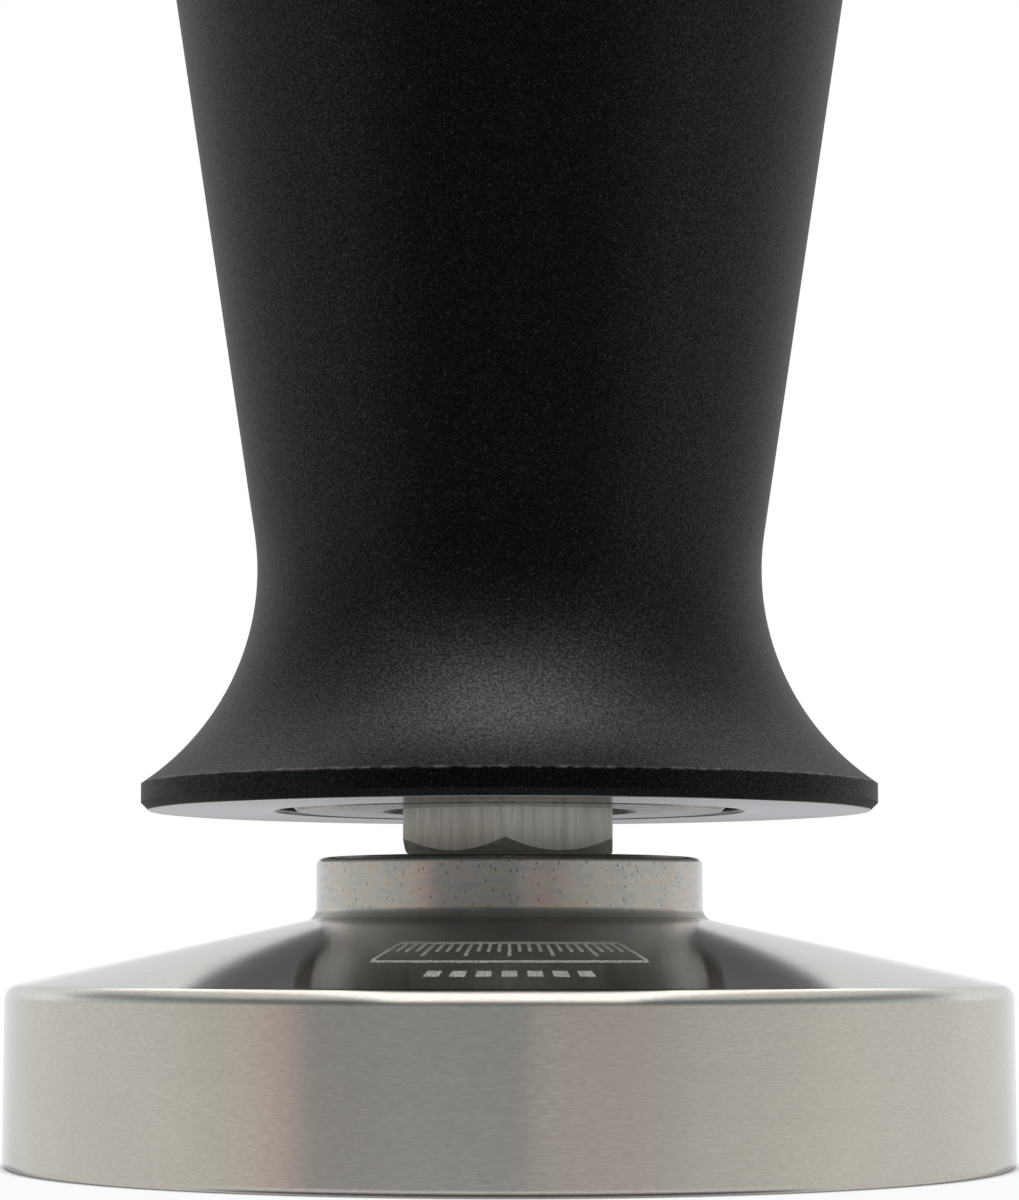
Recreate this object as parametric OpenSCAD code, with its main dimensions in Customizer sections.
// Espresso tamper with a sprung handle that clicks at a set force.
// The base presses the coffee. The handle slides down a spindle that is screwed into the base, until a
// leaning release pin is pushed upright and a hammer drops over it.
// Millimetres, +Z up, origin at the centre of the tamping face, shown at rest with the handle up.

/* [Base] */
// Diameter of the tamping face
base_d = 58; // [57:0.1:60]
// Height of the base's straight side, up to its rounded shoulder
side_h = 9.42; // [9:0.02:9.8]
// Slope of the conical top, in degrees
cone_slope = 12.4; // [10:0.1:13]
// Diameter of the collar
collar_d = 22.46; // [21:0.02:24]
// Height of the collar's top above the tamping face
collar_top = 17.55; // [17.4:0.05:17.7]

/* [Spindle] */
// Size of the hex across its flats
hex_af = 12; // [11:0.1:12.4]
// Height of the hex
hex_h = 3.2; // [3:0.05:3.2]
// Turn of the hex about the spindle, in degrees
hex_turn = -2; // [-30:1:30]
// Diameter of the round shaft
shaft_d = 10; // [9:0.1:10]

/* [Handle] */
// Height of the handle's underside above the tamping face
under_z = 20.25; // [20.2:0.05:20.4]
// Diameter of the handle's rim
rim_d = 42.8; // [42:0.1:44]
// Height from the underside to the top of the rim's straight band
rim_h = 1.53; // [1.3:0.01:1.8]
// Diameter of the waist
waist_d = 29.56; // [29:0.02:31]
// Radius of the flare between the rim and the waist
flare_r = 15; // [14:0.1:15.5]
// Slope of the grip's taper to the axis, in degrees
grip_slope = 8.7; // [8:0.05:9]
// Height at which the grip's taper ends
grip_end_z = 79.2; // [78:0.1:84]
// Radius of the shoulder at the handle's top
top_shoulder_r = 7.5; // [5:0.1:9]

/* [Mechanism] */
// How far the handle travels down
travel = 2.2; // [2:0.1:2.2]
// How far the hammer drops
hammer_drop = 1.6; // [1.4:0.1:1.6]
// Lean of the release pin at rest, in degrees
pin_lean = 4; // [3:0.1:4]
// Wire of the main spring
main_wire = 2.2; // [1.8:0.1:2.4]
// Turns of the main spring, with its closed ends
main_turns = 5.5; // [4.5:0.5:6]

/* [Hidden] */

$fn = 96;
cut = 0.1;              // how far a cutter runs past the face that it opens
slide_gap = 0.06;       // radial clearance of a sliding fit
seat_gap = 0.03;        // clearance between two faces, or of a fixed fit
arc_steps = 28;         // steps along a large turned arc
edge_steps = 6;         // steps along a small turned arc

// Base
base_r = base_d / 2;
collar_r = collar_d / 2;
face_edge_r = 0.4;
shoulder_r = 0.9;
foot_fillet_r = 0.7;
collar_edge_r = 0.45;
tapped_depth = 10;

// Screw threads, drawn as rings
stud_r = 4;
thread_pitch = 1.25;
thread_depth = 0.68;

// Spindle
hex_z = collar_top + seat_gap;
hex_top = hex_z + hex_h;
hex_across_corners_r = hex_af / 2 / cos(30);
hex_corner_r = hex_across_corners_r - 0.04;
hex_foot_chamfer = [1.25, 1];       // along the radius and up
hex_top_chamfer = [0.6, 0.4];
shaft_r = shaft_d / 2;
head_screw_r = 3.5;

// Handle's outside
rim_r = rim_d / 2;
rim_chamfer = 0.45;
rim_top = under_z + rim_h;
waist_r = waist_d / 2;
flare_angle = acos(1 - (rim_r - waist_r) / flare_r);
waist_z = rim_top + flare_r * sin(flare_angle);
crown_slope = 5;

// Handle's bores, from the mouth up
mouth_r = 13.55;
lower_bore_r = 11;
upper_bore_r = 10;
ring_z = under_z + 1.25;
ring_h = 1.2;
ring_groove_r = 14.3;
plate_z = ring_z + ring_h;
plate_top = plate_z + 2.5;

// Plate with its seal and bush
boss_r = 12.6;
hub_r = 9.6;
hub_top = plate_top + 3;
pocket_r = 7.3;
pocket_top = under_z + travel + 0.85;
lip_r = shaft_r + 0.6;
bush_r = 6.5;
bush_flange_r = 8.6;
seal_z = pocket_top + 0.8;
seal_h = bush_r - shaft_r - 2 * seat_gap;
bush_z = seal_z + seal_h + 0.1;
bush_top = hub_top + 1;

// Washer and spindle head
washer_z = bush_top + seat_gap;
washer_h = 0.8;
washer_r = 8.6;
head_z = washer_z + washer_h + seat_gap;
head_top = head_z + 5;
socket_depth = 0.8;

// Release pin, drawn upright on its foot and then leaned
foot_r = 2.4;
pivot_z = head_top - socket_depth + seat_gap + foot_r;
pin_flange_z = pivot_z + 2.5;
pin_flange_top = pin_flange_z + 1.2;
pin_flange_r = 4.4;
pin_body_r = 2.9;
pin_tip_r = 1.9;

// Centring cup
cup_z = plate_top + 20.9;
cup_top = cup_z + 4;
cup_bore_r = pin_body_r + 0.2;
cup_mouth_r = cup_bore_r + 1.5;

// Hammer
hammer_z = cup_top + seat_gap;
hammer_top = hammer_z + 9;
spigot_r = 6.9;
spigot_h = 3;
pin_tip_z = hammer_z + 0.1;
tip_swing = (pin_tip_z - pivot_z) * sin(pin_lean);

// Springs, seat and shims
main_spring_h = 18;
seat_z = hammer_top + main_spring_h;
seat_top = seat_z + 2;
shim_h = 0.3;
shim_count = 3;
bore_top = seat_top + shim_count * (shim_h + seat_gap) + seat_gap;
return_wire = 0.9;
return_turns = 3.5;

STEEL = [0.72, 0.71, 0.69];
DARK_STEEL = [0.36, 0.34, 0.32];
SPRING_STEEL = [0.45, 0.46, 0.48];
ANODISED = [0.06, 0.06, 0.065];
BARE_ALUMINIUM = [0.78, 0.79, 0.80];
BRONZE = [0.62, 0.45, 0.25];
BLACK_RUBBER = [0.05, 0.05, 0.05];
NYLON = [0.90, 0.88, 0.82];

// ---- Shared shapes ----

// Points of an arc about a centre, from one angle to another
function arc(centre, r, from, to, steps) =
    [for (i = [0 : steps])
        let (a = from + (to - from) * i / steps)
        centre + r * [cos(a), sin(a)]];

// Outline of a ring thread as [radius, height], with its crests at r
function thread_edge(r, z0, z1) =
    let (rings = floor((z1 - z0) / thread_pitch), root = r - thread_depth)
    [for (i = [0 : rings - 1])
        let (z = z0 + i * thread_pitch)
        each [[root, z], [r, z + 0.44 * thread_pitch], [r, z + 0.56 * thread_pitch]],
     [root, z0 + rings * thread_pitch]];

// A turned piece, from its outline as [radius, height]
module turned(outline) {
    rotate_extrude() polygon(outline);
}

module tube(inner_r, outer_r, z, h) {
    rotate_extrude() translate([inner_r, z]) square([outer_r - inner_r, h]);
}

// Round wire along a path. radius_at and height_at are functions of t, which runs from 0 to 1.
module coil(wire_r, turns, radius_at, height_at) {
    sides = 10;
    steps = ceil(turns * 28);
    rows = [for (i = [0 : steps])
        let (t = i / steps, turn = 360 * turns * t)
        [for (k = [0 : sides - 1])
            let (a = 360 * k / sides, reach = radius_at(t) + wire_r * cos(a))
            [reach * cos(turn), reach * sin(turn), height_at(t) + wire_r * sin(a)]]];
    walls = [for (i = [0 : steps - 1], k = [0 : sides - 1])
        let (next = (k + 1) % sides)
        [i * sides + k, (i + 1) * sides + k, (i + 1) * sides + next, i * sides + next]];
    first = [for (k = [0 : sides - 1]) k];
    last = [for (k = [sides - 1 : -1 : 0]) steps * sides + k];
    polyhedron([for (row = rows) each row], concat(walls, [first, last]));
}

// ---- Base and spindle ----

module tamping_base() {
    cone_foot = [base_r - shoulder_r, side_h] + shoulder_r * [sin(cone_slope), cos(cone_slope)];
    fillet_x = collar_r + foot_fillet_r;
    cone_end_x = fillet_x - foot_fillet_r * sin(cone_slope);
    cone_end_z = cone_foot.y + (cone_foot.x - cone_end_x) * tan(cone_slope);
    fillet_z = cone_end_z + foot_fillet_r * cos(cone_slope);
    collar_edge = [collar_r, collar_top] - collar_edge_r * [1, 1];
    hole_r = stud_r + slide_gap;
    hole_z = collar_top - tapped_depth;
    color(STEEL) difference() {
        turned(concat(
            [[0, 0]],
            arc([base_r - face_edge_r, face_edge_r], face_edge_r, -90, 0, edge_steps),
            arc([base_r - shoulder_r, side_h], shoulder_r, 0, 90 - cone_slope, edge_steps),
            arc([fillet_x, fillet_z], foot_fillet_r, 270 - cone_slope, 180, edge_steps),
            arc(collar_edge, collar_edge_r, 0, 90, edge_steps),
            [[0, collar_top]]
        ));
        turned(concat(
            [[0, hole_z - 1.5]],
            thread_edge(hole_r, hole_z, collar_top - 1),
            [[hole_r + 0.3, collar_top - 0.5], [hole_r + 0.3, collar_top + cut], [0, collar_top + cut]]
        ));
    }
}

module hex_prism() {
    foot = hex_foot_chamfer;
    top = hex_top_chamfer;
    intersection() {
        translate([0, 0, hex_z]) rotate(30 + hex_turn)
            cylinder(h = hex_h, r = hex_across_corners_r, $fn = 6);
        turned([
            [0, hex_z], [hex_corner_r - foot.x, hex_z], [hex_corner_r, hex_z + foot.y],
            [hex_corner_r, hex_top - top.y], [hex_corner_r - top.x, hex_top], [0, hex_top]
        ]);
    }
}

module hex_spindle() {
    stud_z = collar_top - tapped_depth + thread_pitch;
    screw_top = head_top - socket_depth - 1.2;
    color(STEEL) union() {
        turned(concat(
            [[0, stud_z]],
            thread_edge(stud_r, stud_z, collar_top - 1),
            [[stud_r - thread_depth, hex_z + cut], [0, hex_z + cut]]
        ));
        hex_prism();
        turned([
            [0, hex_top - cut], [shaft_r, hex_top - cut], [shaft_r, head_z - 0.3], [shaft_r - 0.3, head_z],
            [head_screw_r, head_z], [head_screw_r, screw_top - 0.4], [head_screw_r - 0.4, screw_top],
            [0, screw_top]
        ]);
    }
}

// Piston on the top of the shaft, with a round socket for the pin's foot
module spindle_head() {
    outer_r = upper_bore_r - slide_gap;
    edge = 0.4;
    screw_hole_h = head_top - head_z - socket_depth - 1;
    color(DARK_STEEL) difference() {
        turned([
            [0, head_z], [outer_r - edge, head_z], [outer_r, head_z + edge], [outer_r, head_top - edge],
            [outer_r - edge, head_top], [0, head_top]
        ]);
        translate([0, 0, head_z - cut])
            cylinder(h = screw_hole_h + cut, r = head_screw_r + seat_gap);
        translate([0, 0, pivot_z])
            sphere(r = foot_r + seat_gap);
    }
}

// ---- Handle ----

function grip_r(z) =
    let (taper_z = waist_z + flare_r * sin(grip_slope))
    waist_r + flare_r * (1 - cos(grip_slope)) + (z - taper_z) * tan(grip_slope);

module handle_outline() {
    shoulder = [grip_r(grip_end_z), grip_end_z] + top_shoulder_r * [-cos(grip_slope), sin(grip_slope)];
    crown_edge = shoulder + top_shoulder_r * [sin(crown_slope), cos(crown_slope)];
    crown_r = crown_edge.x / sin(crown_slope);
    polygon(concat(
        [[0, under_z], [rim_r - rim_chamfer, under_z], [rim_r, under_z + rim_chamfer]],
        arc([waist_r + flare_r, waist_z], flare_r, 180 + flare_angle, 180 - grip_slope, arc_steps),
        arc(shoulder, top_shoulder_r, -grip_slope, 90 - crown_slope, arc_steps),
        arc([0, crown_edge.y - crown_r * cos(crown_slope)], crown_r, 90 - crown_slope, 90, edge_steps)
    ));
}

module handle_shell() {
    groove_gap = 0.02;
    mouth_edge = 0.2;
    color(ANODISED) difference() {
        rotate_extrude() handle_outline();
        turned([
            [0, under_z - cut], [mouth_r + mouth_edge + cut, under_z - cut], [mouth_r, under_z + mouth_edge],
            [mouth_r, ring_z - groove_gap], [ring_groove_r, ring_z - groove_gap],
            [ring_groove_r, plate_z + groove_gap], [mouth_r, plate_z + groove_gap],
            [mouth_r, plate_top], [lower_bore_r, plate_top],
            [lower_bore_r, cup_top], [upper_bore_r, cup_top],
            [upper_bore_r, bore_top], [0, bore_top]
        ]);
    }
}

module retainer_plate() {
    edge = 0.25;
    flange_r = mouth_r - 0.1;
    color(BARE_ALUMINIUM) turned([
        [pocket_r + edge, under_z], [boss_r - edge, under_z], [boss_r, under_z + edge],
        [boss_r, plate_z], [flange_r, plate_z], [flange_r, plate_top - seat_gap],
        [hub_r, plate_top - seat_gap], [hub_r, hub_top], [bush_r, hub_top],
        [bush_r, seal_z], [lip_r, seal_z], [lip_r, pocket_top],
        [pocket_r, pocket_top], [pocket_r, under_z + edge]
    ]);
}

// Two turns of flat wire, each with its own gap, so that the turns hold together
module retaining_ring() {
    inner_r = boss_r + 0.15;
    outer_r = ring_groove_r - 0.05;
    turn_h = ring_h / 2;
    gap_w = 2.2;
    color(DARK_STEEL) union() {
        for (layer = [0, 1]) {
            z = ring_z + layer * turn_h;
            difference() {
                tube(inner_r, outer_r, z, turn_h);
                rotate(-62 + layer * 20)
                    translate([inner_r - cut, -gap_w / 2, z - cut])
                        cube([outer_r - inner_r + 2 * cut, gap_w, turn_h + (layer == 0 ? cut : 2 * cut)]);
            }
        }
    }
}

module guide_bush() {
    bore_r = shaft_r + 0.05;
    sleeve_r = bush_r - seat_gap;
    lead_in = 0.3;
    color(BRONZE) turned([
        [bore_r + lead_in, bush_z], [sleeve_r - lead_in, bush_z], [sleeve_r, bush_z + lead_in],
        [sleeve_r, hub_top], [bush_flange_r, hub_top], [bush_flange_r, bush_top],
        [bore_r + lead_in, bush_top], [bore_r, bush_top - lead_in], [bore_r, bush_z + lead_in]
    ]);
}

module wiper_seal() {
    color(BLACK_RUBBER) rotate_extrude()
        translate([(shaft_r + bush_r) / 2, seal_z + seal_h / 2])
            circle(d = seal_h - 2 * seat_gap, $fn = 32);
}

module thrust_washer() {
    color(NYLON) tube(shaft_r + 0.15, washer_r, washer_z, washer_h);
}

// Clamps the centring cup against the step in the handle's bore, and guides the spindle's head
module spacer_tube() {
    edge = 0.3;
    outer_r = lower_bore_r - seat_gap;
    color(BARE_ALUMINIUM) turned([
        [upper_bore_r, plate_top], [outer_r, plate_top], [outer_r, cup_z - seat_gap],
        [upper_bore_r + edge, cup_z - seat_gap], [upper_bore_r, cup_z - seat_gap - edge]
    ]);
}

module centring_cup() {
    outer_r = lower_bore_r - seat_gap;
    color(DARK_STEEL) turned([
        [cup_mouth_r, cup_z], [outer_r, cup_z], [outer_r, cup_top - seat_gap],
        [cup_bore_r, cup_top - seat_gap], [cup_bore_r, cup_z + cup_mouth_r - cup_bore_r]
    ]);
}

// ---- Click mechanism ----

// Heights here are above the centre of the pin's round foot
module release_pin() {
    flange_z = pin_flange_z - pivot_z;
    flange_top = pin_flange_top - pivot_z;
    body_top = cup_z - 0.1 - pivot_z;
    tip_z = pin_tip_z - pivot_z;
    tip_edge = 0.3;
    neck_r = 1.9;
    shank_r = 2.2;
    color(STEEL) translate([0, 0, pivot_z]) rotate([0, pin_lean, 0]) turned(concat(
        arc([0, 0], foot_r, -90, acos(neck_r / foot_r), 14),
        [
            [shank_r, flange_z], [pin_flange_r - 0.2, flange_z], [pin_flange_r, flange_z + 0.2],
            [pin_flange_r, flange_top], [pin_body_r, flange_top], [pin_body_r, body_top],
            [pin_tip_r, body_top + pin_body_r - pin_tip_r], [pin_tip_r, tip_z - tip_edge],
            [pin_tip_r - tip_edge, tip_z], [0, tip_z]
        ]
    ));
}

module return_spring() {
    wire_r = return_wire / 2;
    low_r = pin_body_r + 0.4 + wire_r;
    high_r = 6.5;
    low_z = pin_flange_top + pin_flange_r * sin(pin_lean) + wire_r + seat_gap;
    high_z = cup_z - wire_r - seat_gap;
    color(SPRING_STEEL) coil(
        wire_r, return_turns,
        function (t) low_r + (high_r - low_r) * t,
        function (t) low_z + (high_z - low_z) * t
    );
}

module hammer() {
    outer_r = upper_bore_r - slide_gap;
    edge = 0.4;
    mouth = pin_tip_r + tip_swing + 0.15;
    funnel_end_r = pin_tip_r + 0.15;
    funnel_h = hammer_drop + 0.25;
    hole_top = hammer_z + funnel_h + 0.4;
    color(STEEL) turned([
        [mouth, hammer_z], [outer_r - edge, hammer_z], [outer_r, hammer_z + edge],
        [outer_r, hammer_top - edge], [outer_r - edge, hammer_top], [spigot_r, hammer_top],
        [spigot_r, hammer_top + spigot_h - edge], [spigot_r - edge, hammer_top + spigot_h],
        [0, hammer_top + spigot_h], [0, hole_top], [funnel_end_r, hole_top],
        [funnel_end_r, hammer_z + funnel_h]
    ]);
}

// Height along a coil with one closed turn at each end
function closed_rise(t, turns, wire, height) =
    let (n = t * turns, closed = wire * 1.03, live = turns - 2)
    n < 1 ? n * closed :
    n > turns - 1 ? height - (turns - n) * closed :
    closed + (n - 1) / live * (height - 2 * closed);

module main_spring() {
    wire_r = main_wire / 2;
    coil_r = upper_bore_r - 0.5 - wire_r;
    low_z = hammer_top + seat_gap + wire_r;
    rise = main_spring_h - 2 * seat_gap - main_wire;
    color(SPRING_STEEL) coil(
        wire_r, main_turns,
        function (t) coil_r,
        function (t) low_z + closed_rise(t, main_turns, main_wire, rise)
    );
}

module spring_seat() {
    outer_r = upper_bore_r - slide_gap;
    edge = 0.4;
    hole_r = 2.5;
    color(DARK_STEEL) turned([
        [hole_r, seat_z - spigot_h], [spigot_r - edge, seat_z - spigot_h], [spigot_r, seat_z - spigot_h + edge],
        [spigot_r, seat_z], [outer_r, seat_z], [outer_r, seat_top], [hole_r, seat_top]
    ]);
}

module calibration_shims() {
    color(STEEL)
        for (i = [0 : shim_count - 1])
            tube(3, upper_bore_r - 0.1, seat_top + seat_gap + i * (shim_h + seat_gap), shim_h);
}

tamping_base();
hex_spindle();
spindle_head();
handle_shell();
retainer_plate();
retaining_ring();
guide_bush();
wiper_seal();
thrust_washer();
spacer_tube();
centring_cup();
return_spring();
release_pin();
hammer();
main_spring();
spring_seat();
calibration_shims();
